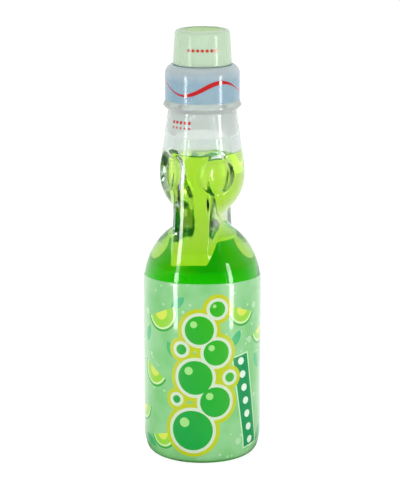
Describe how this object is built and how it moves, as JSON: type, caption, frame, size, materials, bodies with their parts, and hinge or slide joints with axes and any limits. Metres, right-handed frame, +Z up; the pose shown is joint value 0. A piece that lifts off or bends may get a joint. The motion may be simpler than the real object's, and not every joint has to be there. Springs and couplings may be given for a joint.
{
  "type": "marble stopper bottle",
  "caption": "Round glass soda bottle sealed from inside by a glass marble, with a two-sided pinched waist, a dented neck chamber, a pressed-on mouthpiece and an opener cap with a push-in plunger.",
  "frame": {"origin": "middle of the standing ring, on the surface the bottle stands on", "axes": "+Z up along the bottle's axis, -Y towards the viewer of the picture, with the two dents on that side, either side of a plane turned 19 degrees from it"},
  "size_m": [0.0582, 0.0582, 0.213],
  "materials": {
    "bottle_glass": "clear gloss",
    "marble_glass": "clear gloss",
    "gasket_rubber": "matt",
    "mouthpiece_plastic": "satin",
    "cap_plastic": "satin",
    "plunger_plastic": "satin",
    "cap_film": "clear shrink film",
    "neck_film": "clear shrink film with a printed band",
    "label_film": "printed shrink film",
    "drink": "clear green liquid"
  },
  "bodies": {
    "bottle": {"glass_bottle": "bottle_glass", "mouthpiece": "mouthpiece_plastic", "gasket": "gasket_rubber", "neck_film": "neck_film", "body_label": "label_film", "drink": "drink"},
    "cap": {"cap_ring": "cap_plastic", "cap_film": "cap_film"},
    "plunger": {"plunger": "plunger_plastic"},
    "marble": {"marble": "marble_glass"}
  },
  "joints": [
    {"name": "cap_lift", "type": "slide", "parent": "bottle", "child": "cap", "axis": [0, 0, 1], "range_m": [0, 0.03]},
    {"name": "plunger_press", "type": "slide", "parent": "cap", "child": "plunger", "axis": [0, 0, -1], "range_m": [0, 0.0074]},
    {"name": "marble_drop", "type": "slide", "parent": "bottle", "child": "marble", "axis": [0, 0, -1], "range_m": [0, 0.0538], "deforming": ["drink"]}
  ],
  "couplings": [
    {"joint": "marble_drop", "follows": "plunger_press", "ratio": 7.27}
  ]
}
